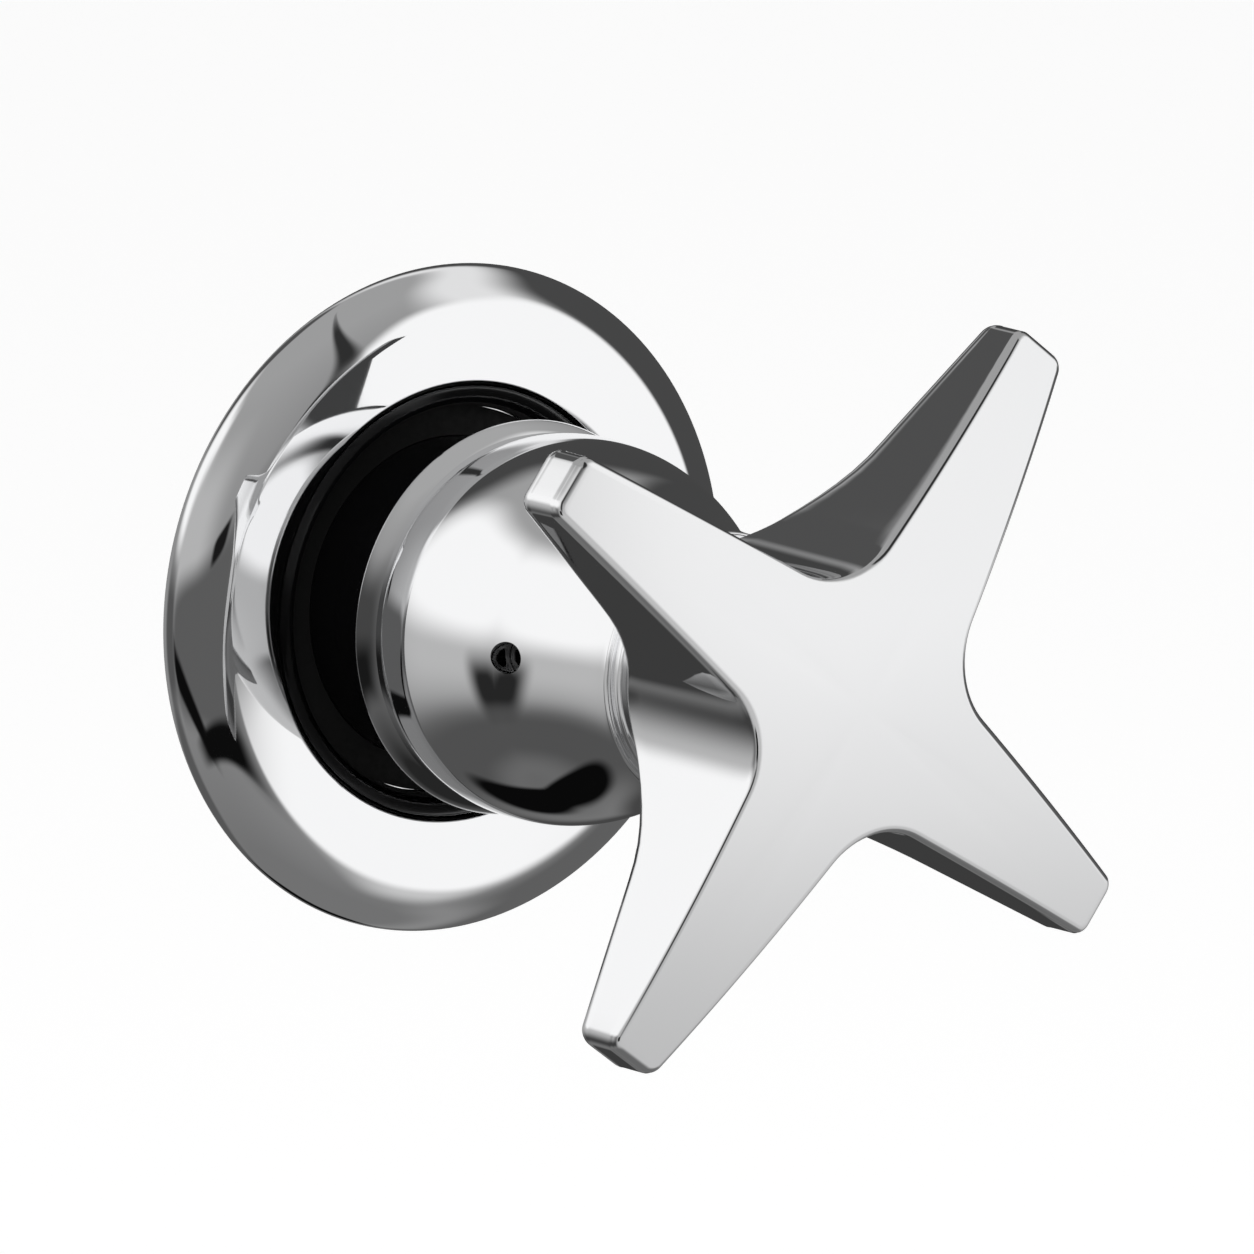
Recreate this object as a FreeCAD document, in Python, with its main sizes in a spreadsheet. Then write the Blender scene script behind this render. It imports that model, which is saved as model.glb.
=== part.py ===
import FreeCAD, Part
import math
import os
import Sketcher

# Wall-mounted shower tap: a cross handle on a bell-shaped skirt, a sliding cover flange, and the
# quarter-turn ceramic valve behind them. Lengths are millimetres.
#
# Each piece is drawn with its local Z along the tap's axis, away from the wall, and is then turned
# so that the axis points along -Y and +Z is up. The origin is the centre of the flange on the
# wall's face, so what is behind the wall has a negative depth.

SIZES = {
    # Cover flange: rolled rim, gently coned face, inner edge rolled in round the sleeve
    "flange_radius": 32.5,
    "edge_radius": 1.5,
    "edge_depth": 3.0,
    "edge_angle": 20.0,
    "rim_radius": 4.2,
    "roll_radius": 3.4,
    "roll_depth": 3.35,
    "throat_gap": 3.0,
    "flange_wall": 1.2,
    "foot_inset": 0.6,
    "foot_width": 1.4,
    "channel_width": 1.45,
    "shelf_depth": 1.0,
    "channel_depth": 2.4,
    "gasket_thickness": 0.8,
    "gasket_inset": 0.1,
    # Black sleeve that the flange slides on, and what clamps it to the valve
    "sleeve_radius": 15.8,
    "sleeve_wall": 1.4,
    "sleeve_floor": 2.0,
    "sleeve_end": 24.0,
    "slide_gap": 0.3,
    "ring_gap": 0.05,
    "lock_washer_radius": 13.0,
    "lock_washer_thickness": 1.0,
    "lock_nut_flats": 24.0,
    "lock_nut_height": 4.5,
    # Brass valve body behind the wall
    "valve_thread_radius": 10.4775,
    "valve_thread_length": 9.0,
    "thread_relief": 9.9,
    "relief_length": 1.0,
    "valve_hex_flats": 22.0,
    "valve_hex_height": 5.0,
    "hex_depth": 2.0,
    "sleeve_thread_radius": 9.0,
    "sleeve_thread_length": 9.0,
    "neck_radius": 6.6,
    "neck_front": 22.0,
    "fibre_washer_radius": 13.5,
    "thread_gap": 0.12,
    "skirt_radius": 8.9,
    "skirt_length": 9.5,
    "port_radius": 1.3,
    "port_offset": 1.6,
    # Spindle
    "spindle_radius": 4.0,
    "running_gap": 0.05,
    "drive_flange_radius": 5.8,
    "drive_flange_height": 3.0,
    "chamber_depth": 13.0,
    "chamber_height": 4.0,
    "thrust_thickness": 0.8,
    "tang_length": 7.0,
    "tang_width": 3.0,
    "tang_depth": 4.0,
    "groove_root": 2.9,
    "groove_width": 1.4,
    "groove_back": 6.0,
    "groove_pitch": 5.0,
    "seal_radius": 0.55,
    "spline_front": 40.0,
    "spline_length": 11.0,
    "spline_depth": 0.5,
    "spline_groove_width": 0.8,
    "spline_teeth": 20,
    "tooth_gap": 0.12,
    "clip_groove_root": 3.3,
    "clip_radius": 5.6,
    "clip_thickness": 0.7,
    "clip_angle": 300.0,
    # Quarter-turn stop
    "crown_bore": 5.0,
    "crown_height": 3.0,
    "stop_thickness": 2.0,
    "stop_gap": 0.2,
    "lug_angle": 40.0,
    "turn_angle": 90.0,
    "stop_play_angle": 2.0,
    # Ceramic discs and seat seal
    "disc_chamber_radius": 7.5,
    "disc_radius": 7.2,
    "disc_thickness": 2.5,
    "disc_gap": 0.04,
    "tang_gap": 0.2,
    "disc_hole_radius": 1.9,
    "disc_hole_offset": 4.6,
    "seal_bore": 4.6,
    "seal_proud": 0.5,
    "seat_gap": 0.05,
    # Bell-shaped handle skirt
    "bell_wall": 2.45,
    "bell_back": 14.7,
    "bell_edge": 0.4,
    "band_width": 2.1,
    "band_curve": 3.0,
    "belly_inset": 0.45,
    "belly_depth": 22.3,
    "belly_curve": 24.0,
    "bell_front_radius": 12.95,
    "bell_front": 46.5,
    "cavity_gap": 0.8,
    "cavity_front": 28.5,
    "insert_radius": 6.4,
    "insert_length": 11.5,
    "insert_back": 29.4,
    "grub_radius": 1.45,
    "grub_length": 7.5,
    "grub_depth": 34.3,
    "grub_angle": 176.5,
    "grub_socket_flats": 1.5,
    "grub_socket_depth": 1.6,
    # Neck ring and stud between bell and cross
    "neck_ring_radius": 12.3,
    "neck_ring_height": 1.2,
    "stud_radius": 4.0,
    "stud_length": 15.0,
    "stud_back": 42.5,
    "stud_gap": 0.05,
    "stud_room": 1.0,
    # Cross handle
    "handle_reach": 38.8,
    "handle_front": 69.1,
    "front_dome": 205.0,
    "arm_angle": 52.4,
    "arm_tip_width": 6.0,
    "arm_root_width": 11.7,
    "arm_root_reach": 18.0,
    "waist_fillet": 8.0,
    "taper_angle": 1.0,
    "neck_reach": 11.5,
    "back_curve": 17.6,
    "rise_angle": 10.0,
    "neck_angle": 62.0,
    "tip_round": 1.4,
    "front_round": 0.6,
    "cut_spare": 0.5,
}


class Size:
    """A driving size or a sum of sizes: text is an expression on the sheet, value its number."""

    def __init__(self, text, value):
        self.text = text
        self.value = value

    def __add__(self, other):
        return combined(self, "+", other, self.value + number(other))

    def __sub__(self, other):
        return combined(self, "-", other, self.value - number(other))

    def __mul__(self, other):
        return combined(self, "*", other, self.value * number(other))

    def __truediv__(self, other):
        return combined(self, "/", other, self.value / number(other))

    def __neg__(self):
        return Size(f"(-{self.text})", -self.value)


def number(length):
    return length.value if isinstance(length, Size) else float(length)


def combined(left, sign, right, value):
    right_text = right.text if isinstance(right, Size) else repr(float(right))
    return Size(f"({left.text} {sign} {right_text})", value)


def root(square):
    return Size(f"sqrt({square.text})", math.sqrt(square.value))


def sine(angle):
    return Size(f"sin({angle.text})", math.sin(math.radians(angle.value)))


def cosine(angle):
    return Size(f"cos({angle.text})", math.cos(math.radians(angle.value)))


def tangent(angle):
    return Size(f"tan({angle.text})", math.tan(math.radians(angle.value)))


ZERO = Size("0", 0.0)
TOUCH = 0.001
UPRIGHT = 0.9
OUTWARDS = FreeCAD.Rotation(FreeCAD.Vector(1, 0, 0), 90)

doc = FreeCAD.newDocument("ShowerTap")
sheet = doc.addObject("Spreadsheet::Sheet", "Sizes")
for row, (name, length) in enumerate(SIZES.items(), start=1):
    sheet.set(f"A{row}", name)
    sheet.set(f"B{row}", str(length))
    sheet.setAlias(f"B{row}", name)
doc.recompute()

pieces = []


def size(name):
    return Size(f"Sizes.{name}", float(SIZES[name]))


def bind(feature, prop, length):
    feature.setExpression(prop, length.text)


def new_body(label, turn=0.0):
    """Body whose local Z is the tap's axis, turned about that axis by an angle."""
    body = doc.addObject("PartDesign::Body", label)
    body.Label = label
    about_axis = FreeCAD.Rotation(FreeCAD.Vector(0, 0, 1), number(turn))
    body.Placement = FreeCAD.Placement(FreeCAD.Vector(), OUTWARDS * about_axis)
    pieces.append(body)
    return body


def new_sketch(body, role, depth=None):
    """Sketch on one of the body's origin planes, moved along its normal by a depth."""
    sketch = body.newObject("Sketcher::SketchObject", body.Name + "Sketch")
    plane = [f for f in body.Origin.OriginFeatures if f.Role == role][0]
    sketch.AttachmentSupport = [(plane, "")]
    sketch.MapMode = "FlatFace"
    if depth is not None:
        bind(sketch, "AttachmentOffset.Base.z", depth)
    return sketch


def arc_between(start, end, radius):
    """Centre of the arc from start to end: left of the way for a positive radius, else right."""
    way = end - start
    left = FreeCAD.Vector(-way.y, way.x, 0).normalize()
    rise = math.sqrt(max(radius * radius - way.Length ** 2 / 4, 0.0))
    return (start + end) * 0.5 + left * math.copysign(rise, radius)


def fix_point(sketch, geometry, end, corner):
    """Holds one end of a segment at a corner whose x and y are sizes."""
    for kind, axis, length in (("DistanceX", -2, corner[0]), ("DistanceY", -1, corner[1])):
        if length.text == "0":
            sketch.addConstraint(Sketcher.Constraint("PointOnObject", geometry, end, axis))
            continue
        index = sketch.addConstraint(Sketcher.Constraint(kind, -1, 1, geometry, end, length.value))
        bind(sketch, f"Constraints[{index}]", length)


def draw(sketch, corners):
    """Closed outline through corners (x, y) or (x, y, radius), where the radius is that of the
    arc leading to the corner: positive with its centre on the left of the way, negative right."""
    starts = []
    ends = []
    for before, corner in zip([corners[-1]] + corners[:-1], corners):
        start = FreeCAD.Vector(before[0].value, before[1].value, 0)
        end = FreeCAD.Vector(corner[0].value, corner[1].value, 0)
        if len(corner) == 2:
            index = sketch.addGeometry(Part.LineSegment(start, end))
            starts.append((index, 1))
            ends.append((index, 2))
            continue
        radius = corner[2]
        centre = arc_between(start, end, radius.value)
        circle = Part.Circle(centre, FreeCAD.Vector(0, 0, 1), abs(radius.value))
        way = (start, end) if radius.value > 0 else (end, start)
        angles = [math.atan2(p.y - centre.y, p.x - centre.x) for p in way]
        index = sketch.addGeometry(Part.ArcOfCircle(circle, angles[0], angles[1]))
        starts.append((index, 1 if radius.value > 0 else 2))
        ends.append((index, 2 if radius.value > 0 else 1))
        held = sketch.addConstraint(Sketcher.Constraint("Radius", index, abs(radius.value)))
        bind(sketch, f"Constraints[{held}]", radius if radius.value > 0 else -radius)
    for i, corner in enumerate(corners):
        following = starts[(i + 1) % len(corners)]
        sketch.addConstraint(Sketcher.Constraint("Coincident", *ends[i], *following))
        fix_point(sketch, *ends[i], corner)


def draw_circle(sketch, x, y, radius):
    centre = FreeCAD.Vector(x.value, y.value, 0)
    circle = Part.Circle(centre, FreeCAD.Vector(0, 0, 1), radius.value)
    index = sketch.addGeometry(circle)
    fix_point(sketch, index, 3, (x, y))
    held = sketch.addConstraint(Sketcher.Constraint("Radius", index, radius.value))
    bind(sketch, f"Constraints[{held}]", radius)


def turned(body, corners, cut=False, angle=None):
    """Turns an outline of (radius, depth) corners about the axis, as a solid or as a cut."""
    sketch = new_sketch(body, "XZ_Plane")
    draw(sketch, corners)
    kind = "PartDesign::Groove" if cut else "PartDesign::Revolution"
    feature = body.newObject(kind, body.Name + ("Cut" if cut else "Turn"))
    feature.Profile = sketch
    feature.ReferenceAxis = (sketch, ["V_Axis"])
    feature.Angle = 360
    if angle is not None:
        bind(feature, "Angle", angle)
    return feature


def box_corners(inner, outer, back, front):
    return [(inner, back), (outer, back), (outer, front), (inner, front)]


def ring(label, inner, outer, back, front, turn=0.0, angle=None):
    body = new_body(label, turn)
    turned(body, box_corners(inner, outer, back, front), angle=angle)
    return body


def cut_through(body, sketch, length, back=True):
    """Pocket of a length, towards the wall when back is true."""
    pocket = body.newObject("PartDesign::Pocket", body.Name + "Pocket")
    pocket.Profile = sketch
    pocket.Reversed = not back
    bind(pocket, "Length", length)
    return pocket


def pad(body, sketch, length, back=False):
    feature = body.newObject("PartDesign::Pad", body.Name + "Pad")
    feature.Profile = sketch
    feature.Reversed = back
    bind(feature, "Length", length)
    return feature


def hexagon(flats):
    """Corners of a hexagon that is a width across its flats."""
    half = flats / 2
    tall = flats / math.sqrt(3)
    low = tall / 2
    return [(half, low), (ZERO, tall), (-half, low), (-half, -low), (ZERO, -tall), (half, -low)]


def repeat_round(body, feature, count):
    """Copies of a feature all round the axis."""
    pattern = body.newObject("PartDesign::PolarPattern", body.Name + "Pattern")
    pattern.Originals = [feature]
    axis = [f for f in body.Origin.OriginFeatures if f.Role == "Z_Axis"][0]
    pattern.Axis = (axis, [""])
    pattern.Angle = 360
    bind(pattern, "Occurrences", count)
    body.Tip = pattern
    return pattern


def seal_ring(name, mean_radius, section, depth):
    """Rubber ring of round section about the axis."""
    torus = doc.addObject("Part::Torus", name)
    torus.Placement = FreeCAD.Placement(FreeCAD.Vector(), OUTWARDS)
    bind(torus, "Radius1", mean_radius)
    bind(torus, "Radius2", section)
    bind(torus, "Placement.Base.y", -depth)
    return torus


# Depths and radii that several pieces share
hex_front = -size("hex_depth")
hex_back = hex_front - size("valve_hex_height")
thread_front = hex_back - size("relief_length")
thread_back = thread_front - size("valve_thread_length")
skirt_back = thread_back - size("skirt_length")
chamber_front = -size("chamber_depth")
chamber_back = chamber_front - size("chamber_height")
drive_front = chamber_front - size("thrust_thickness") - size("running_gap")
drive_back = drive_front - size("drive_flange_height")
tang_back = drive_back - size("tang_depth")
moving_front = tang_back + size("disc_thickness") / 2
moving_back = moving_front - size("disc_thickness")
fixed_front = moving_back - size("disc_gap")
fixed_back = fixed_front - size("disc_thickness")
neck_front = size("neck_front")
crown_front = neck_front + size("crown_height")
stop_back = crown_front + size("stop_gap")
stop_front = stop_back + size("stop_thickness")
clip_back = stop_front + size("running_gap")
clip_front = clip_back + size("clip_thickness")
floor_front = hex_front + size("sleeve_floor")
washer_front = floor_front + size("lock_washer_thickness")
spindle_bore = size("spindle_radius") + size("running_gap")
spline_root = size("spindle_radius") - size("spline_depth")
sleeve_thread_hole = size("sleeve_thread_radius") + size("thread_gap")
insert_front = size("insert_back") + size("insert_length")
hub_bore = size("insert_radius") + size("stud_gap")
bell_cavity = size("sleeve_radius") + size("cavity_gap")
bell_radius = bell_cavity + size("bell_wall")
stud_hole = size("stud_radius") + size("stud_gap")
stud_front = size("stud_back") + size("stud_length")
cross_back = size("bell_front") + size("neck_ring_height")


def make_flange():
    """Cover flange: rolled rim, gently coned face, inner edge rolled in round the sleeve."""
    bore = size("sleeve_radius") + size("slide_gap")
    collar_bore = size("sleeve_radius") + size("channel_width")
    edge = size("edge_radius")
    edge_centre = size("flange_radius") - edge
    edge_depth = size("edge_depth")
    turn = size("edge_angle")
    rim = size("rim_radius")
    rim_centre = edge_centre - (rim - edge) * cosine(turn)
    rim_depth = edge_depth - (rim - edge) * sine(turn)
    roll = size("roll_radius")
    throat = size("sleeve_radius") + size("throat_gap")
    roll_centre = throat + roll
    roll_depth = size("roll_depth")
    across = rim_centre - roll_centre
    along = rim_depth - roll_depth
    growth = rim - roll
    apart = across * across + along * along
    reach = root(apart - growth * growth)
    slope_sine = (growth * across + along * reach) / apart
    slope_cosine = (across * reach - growth * along) / apart
    foot = edge_centre - size("foot_inset")
    foot_inside = foot - size("foot_width")
    back = size("gasket_thickness")
    wall = size("flange_wall")
    corners = [
        (bore, ZERO),
        (bore, size("shelf_depth")),
        (collar_bore, size("shelf_depth")),
        (collar_bore, size("channel_depth")),
        (throat, size("channel_depth")),
        (throat, roll_depth),
        (roll_centre - roll * slope_sine, roll_depth + roll * slope_cosine, -roll),
        (rim_centre - rim * slope_sine, rim_depth + rim * slope_cosine),
        (rim_centre + rim * cosine(turn), rim_depth + rim * sine(turn), -rim),
        (edge_centre, edge_depth - edge, -edge),
        (foot, edge_depth - edge),
        (foot, back),
        (foot_inside, back),
        (rim_centre, rim_depth + rim - wall),
        (roll_centre, roll_depth + roll - wall),
        (roll_centre, ZERO),
    ]
    turned(new_body("flange"), corners)
    inset = size("gasket_inset")
    ring("wall_gasket", foot_inside + inset, foot - inset, ZERO, back)
    section = (collar_bore - size("sleeve_radius")) / 2 - size("ring_gap")
    middle = (collar_bore + size("sleeve_radius")) / 2
    pieces.append(seal_ring("flange_o_ring", middle, section, size("shelf_depth") + section))


def make_sleeve():
    """Black sleeve on the valve body, with the washer and nut that clamp its floor."""
    outer = size("sleeve_radius")
    inner = outer - size("sleeve_wall")
    corners = [
        (sleeve_thread_hole, hex_front),
        (outer, hex_front),
        (outer, size("sleeve_end")),
        (inner, size("sleeve_end")),
        (inner, floor_front),
        (sleeve_thread_hole, floor_front),
    ]
    turned(new_body("sleeve"), corners)
    ring("sleeve_washer", sleeve_thread_hole, size("lock_washer_radius"), floor_front, washer_front)
    nut = new_body("sleeve_lock_nut")
    sketch = new_sketch(nut, "XY_Plane", washer_front)
    draw(sketch, hexagon(size("lock_nut_flats")))
    draw_circle(sketch, ZERO, ZERO, sleeve_thread_hole)
    pad(nut, sketch, size("lock_nut_height"))


def make_valve_body():
    """Brass body: disc skirt, wall thread, hexagon, sleeve thread, neck and stop crown."""
    body = new_body("valve_body")
    thread_end = hex_front + size("sleeve_thread_length")
    corners = [
        (size("disc_chamber_radius"), skirt_back),
        (size("skirt_radius"), skirt_back),
        (size("skirt_radius"), thread_back),
        (size("valve_thread_radius"), thread_back),
        (size("valve_thread_radius"), thread_front),
        (size("thread_relief"), thread_front),
        (size("thread_relief"), hex_back),
        (size("sleeve_thread_radius"), hex_back),
        (size("sleeve_thread_radius"), thread_end),
        (size("neck_radius"), thread_end),
        (size("neck_radius"), neck_front),
        (spindle_bore, neck_front),
        (spindle_bore, chamber_front),
        (size("drive_flange_radius") + size("slide_gap"), chamber_front),
        (size("drive_flange_radius") + size("slide_gap"), chamber_back),
        (size("disc_chamber_radius"), chamber_back),
    ]
    turned(body, corners)
    hexagon_sketch = new_sketch(body, "XY_Plane", hex_back)
    draw(hexagon_sketch, hexagon(size("valve_hex_flats")))
    draw_circle(hexagon_sketch, ZERO, ZERO, size("neck_radius"))
    pad(body, hexagon_sketch, size("valve_hex_height"))
    crown = box_corners(size("crown_bore"), size("neck_radius"), neck_front, crown_front)
    window = size("lug_angle") + size("turn_angle") + size("stop_play_angle") * 2
    turned(body, crown, angle=-window + 360)
    ports = new_sketch(body, "YZ_Plane")
    draw_circle(ports, ZERO, chamber_back - size("port_offset"), size("port_radius"))
    pocket = cut_through(body, ports, size("skirt_radius") * 2)
    pocket.Midplane = True
    ring("fibre_washer", size("valve_thread_radius") + size("thread_gap"),
         size("fibre_washer_radius"), thread_front, hex_back)
    ring("thrust_washer", spindle_bore, size("drive_flange_radius"), drive_front + size("running_gap"),
         chamber_front)


def make_spindle():
    """Splined spindle with its drive tang, seal grooves and clip groove."""
    body = new_body("spindle")
    radius = size("spindle_radius")
    corners = [(ZERO, drive_back), (size("drive_flange_radius"), drive_back)]
    corners += [(size("drive_flange_radius"), drive_front), (radius, drive_front)]
    grooves = [(size("groove_back"), size("groove_width"), size("groove_root"))]
    grooves += [(size("groove_back") + size("groove_pitch"), size("groove_width"), size("groove_root"))]
    grooves += [(clip_back, size("clip_thickness"), size("clip_groove_root"))]
    for back, width, bottom in grooves:
        corners += [(radius, back), (bottom, back), (bottom, back + width), (radius, back + width)]
    corners += [(radius, size("spline_front")), (ZERO, size("spline_front"))]
    turned(body, corners)
    tang = new_sketch(body, "XY_Plane", drive_back)
    half_length = size("tang_length") / 2
    half_width = size("tang_width") / 2
    draw(tang, rectangle(half_width, half_length))
    pad(body, tang, size("tang_depth"), back=True)
    teeth = new_sketch(body, "XY_Plane", size("spline_front"))
    draw(teeth, tooth(spline_root, radius + size("spline_depth"), size("spline_groove_width")))
    groove = cut_through(body, teeth, size("spline_length"))
    repeat_round(body, groove, size("spline_teeth"))
    rings = []
    section = size("seal_radius")
    mean = size("groove_root") + section
    for back, width, bottom in grooves[:2]:
        rings.append(seal_ring(f"spindle_seal_{len(rings)}", mean, section, back + width / 2))
    seals = doc.addObject("Part::Compound", "spindle_o_rings")
    seals.Links = rings
    pieces.append(seals)
    ring("spindle_clip", size("clip_groove_root"), size("clip_radius"), clip_back, clip_front,
         angle=size("clip_angle"))


def rectangle(half_x, half_y):
    return [(half_x, half_y), (-half_x, half_y), (-half_x, -half_y), (half_x, -half_y)]


def tooth(tip, base, width):
    """Triangle pointing at the axis from a base that is a width across."""
    return [(tip, ZERO), (base, width / 2), (base, -width / 2)]


def make_stop_ring():
    """Ring on the spindle whose lug meets the ends of the crown after a quarter turn."""
    start = -size("lug_angle") - size("turn_angle") - size("stop_play_angle") + 360
    body = ring("stop_ring", spindle_bore, size("neck_radius"), stop_back, stop_front, turn=start)
    lug = box_corners(size("crown_bore"), size("neck_radius"), neck_front + size("stop_gap"), stop_back)
    turned(body, lug, angle=size("lug_angle"))


def make_discs():
    """Ceramic discs, each with two ports, shut at rest; the tang drives the moving one."""
    moving = ring("moving_disc", ZERO, size("disc_radius"), moving_back, moving_front)
    slot = new_sketch(moving, "XY_Plane", moving_front)
    half_length = size("tang_length") / 2 + size("tang_gap")
    half_width = size("tang_width") / 2 + size("tang_gap")
    draw(slot, rectangle(half_width, half_length))
    cut_through(moving, slot, moving_front - tang_back + size("tang_gap"))
    fixed = ring("fixed_disc", ZERO, size("disc_chamber_radius") - size("seat_gap"), fixed_back, fixed_front)
    offset = size("disc_hole_offset")
    for body, front, place in ((moving, moving_front, (offset, ZERO)), (fixed, fixed_front, (ZERO, offset))):
        holes = new_sketch(body, "XY_Plane", front)
        draw_circle(holes, place[0], place[1], size("disc_hole_radius"))
        draw_circle(holes, -place[0], -place[1], size("disc_hole_radius"))
        cut_through(body, holes, size("disc_thickness"))
    ring("seat_seal", size("seal_bore"), size("disc_chamber_radius") - size("seat_gap"),
         skirt_back - size("seal_proud"), fixed_back)


def make_bell():
    """Bell-shaped skirt: a rounded rim band, a crease, a belly and a flare down to the neck."""
    body = new_body("handle_bell", size("grub_angle"))
    edge = size("bell_edge")
    back = size("bell_back")
    front = size("bell_front")
    front_radius = size("bell_front_radius")
    crease_depth = back + size("band_width")
    belly = size("belly_curve")
    belly_centre = bell_radius - size("belly_inset") - belly
    belly_depth = size("belly_depth")
    before = belly_depth - crease_depth
    crease = belly_centre + root(belly * belly - before * before)
    length = front - edge - belly_depth
    height = front_radius - belly_centre
    flare = (length * length + height * height - belly * belly) / (belly - height) / 2
    share = belly / (belly + flare)
    corners = [
        (bell_cavity, back),
        (bell_radius - edge, back),
        (bell_radius, back + edge, edge),
        (crease, crease_depth, size("band_curve")),
        (belly_centre + (height + flare) * share, belly_depth + length * share, belly),
        (front_radius, front - edge, -flare),
        (front_radius - edge, front, edge),
        (stud_hole, front),
        (stud_hole, insert_front + size("stud_gap")),
        (hub_bore, insert_front + size("stud_gap")),
        (hub_bore, size("cavity_front")),
        (bell_cavity, size("cavity_front")),
    ]
    turned(body, corners)
    return body


def make_grub_screw(bell):
    """Radial hole in the bell, and the socket screw in it that holds the spline insert."""
    hole = new_sketch(bell, "YZ_Plane")
    draw_circle(hole, ZERO, size("grub_depth"), size("grub_radius") + size("stud_gap"))
    cut_through(bell, hole, bell_radius, back=False)
    screw = new_body("grub_screw", size("grub_angle"))
    shank = new_sketch(screw, "YZ_Plane", hub_bore)
    draw_circle(shank, ZERO, size("grub_depth"), size("grub_radius"))
    pad(screw, shank, size("grub_length"))
    socket = new_sketch(screw, "YZ_Plane", hub_bore + size("grub_length"))
    flats = hexagon(size("grub_socket_flats"))
    draw(socket, [(x, y + size("grub_depth")) for x, y in flats])
    cut_through(screw, socket, size("grub_socket_depth"))


def make_handle_core():
    """Spline insert, stud and neck ring, which join the bell to the spindle and the cross."""
    insert = ring("spline_insert", spindle_bore, size("insert_radius"), size("insert_back"), insert_front)
    teeth = new_sketch(insert, "XY_Plane", size("insert_back"))
    tip = spline_root + size("tooth_gap")
    base = size("spindle_radius") + size("spline_depth") + size("tooth_gap")
    draw(teeth, tooth(tip, base, size("spline_groove_width")))
    one_tooth = pad(insert, teeth, size("insert_length"))
    repeat_round(insert, one_tooth, size("spline_teeth"))
    ring("handle_stud", ZERO, size("stud_radius"), size("stud_back"), stud_front)
    ring("neck_ring", stud_hole, size("neck_ring_radius"), size("bell_front"), cross_back)


def star():
    """Outline of four tapering arms along the axes, with round waists between them."""
    reach = size("handle_reach")
    tip = size("arm_tip_width") / 2
    fall = (size("arm_root_width") / 2 - tip) / (reach - size("arm_root_reach"))
    fillet = size("waist_fillet")
    stretch = root(fall * fall + 1)
    centre = (tip + fall * reach + fillet * stretch) / (fall + 1)
    near = centre - fillet / stretch
    far = centre - fillet * fall / stretch
    corners = [(reach, -tip), (reach, tip), (far, near), (near, far, -fillet)]
    corners += [(tip, reach), (-tip, reach), (-near, far), (-far, near, -fillet)]
    corners += [(-reach, tip), (-reach, -tip), (-far, -near), (-near, -far, -fillet)]
    corners += [(-tip, -reach), (tip, -reach), (near, -far), (far, -near, -fillet)]
    return corners


def rounded(body, radius, chosen):
    """Fillet on the edges of the body so far that a test chooses."""
    doc.recompute()
    base = body.Tip
    names = [f"Edge{i}" for i, edge in enumerate(base.Shape.Edges, start=1) if chosen(edge)]
    fillet = body.newObject("PartDesign::Fillet", body.Name + "Round")
    fillet.Base = (base, names)
    bind(fillet, "Radius", radius)


def from_axis(point):
    return math.hypot(point.x, point.y)


def at_arm_corner(edge):
    """True for the edges where an arm's end meets its side walls."""
    upright = abs(edge.Vertexes[0].Z - edge.Vertexes[-1].Z) > edge.Length * UPRIGHT
    return upright and all(from_axis(v.Point) > number(size("arm_root_reach")) for v in edge.Vertexes)


def on_front_dome(edge):
    """True for the edges where the domed front meets the walls."""
    dome = number(size("front_dome"))
    middle = FreeCAD.Vector(0, 0, number(size("handle_front")) - dome)
    ends = [v.Point for v in edge.Vertexes]
    return all(abs(middle.distanceToPoint(p) - dome) < TOUCH < from_axis(p) for p in ends)


def make_cross():
    """Cross handle: a tapered star with a domed front and a back that sweeps from neck to tips."""
    body = new_body("cross_handle", size("arm_angle"))
    front = size("handle_front")
    spare = size("cut_spare")
    prism_height = front + spare - cross_back
    sketch = new_sketch(body, "XY_Plane", front + spare)
    draw(sketch, star())
    prism = pad(body, sketch, prism_height, back=True)
    bind(prism, "TaperAngle", size("taper_angle"))
    past = size("handle_reach") + prism_height * tangent(size("taper_angle")) + spare
    dome = size("front_dome")
    sag = dome - root(dome * dome - past * past)
    above = front + spare * 2
    turned(body, [(ZERO, front), (past, front - sag, -dome), (past, above), (ZERO, above)], cut=True)
    neck = size("neck_reach")
    curve = size("back_curve")
    rise = size("rise_angle")
    neck_angle = size("neck_angle")
    curve_end = neck + curve * (sine(neck_angle) - sine(rise))
    curve_front = cross_back + curve * (cosine(rise) - cosine(neck_angle))
    tip_back = curve_front + (past - curve_end) * tangent(rise)
    below = cross_back - spare
    sweep = [(neck, below), (neck, cross_back), (curve_end, curve_front, -curve)]
    turned(body, sweep + [(past, tip_back), (past, below)], cut=True)
    rounded(body, size("tip_round"), at_arm_corner)
    rounded(body, size("front_round"), on_front_dome)
    hole = new_sketch(body, "XY_Plane", stud_front + size("stud_room"))
    draw_circle(hole, ZERO, ZERO, stud_hole)
    cut_through(body, hole, stud_front + size("stud_room") - cross_back)


make_flange()
make_sleeve()
make_valve_body()
make_spindle()
make_stop_ring()
make_discs()
make_grub_screw(make_bell())
make_handle_core()
make_cross()
doc.recompute()

failed = [item.Name for item in doc.Objects if "Invalid" in item.State or "Error" in item.State]
failed += [item.Label for item in pieces if item.Shape.isNull() or not item.Shape.isValid()]
if failed:
    raise RuntimeError("not built: " + ", ".join(failed))
os.makedirs("parts", exist_ok=True)
for item in pieces:
    item.Shape.exportStep(f"parts/{item.Label}.step")
    print(item.Label, len(item.Shape.Solids), "solids", round(item.Shape.Volume, 1), "mm3")
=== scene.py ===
import math

import bmesh
import bpy
from mathutils import Matrix, Vector


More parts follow.
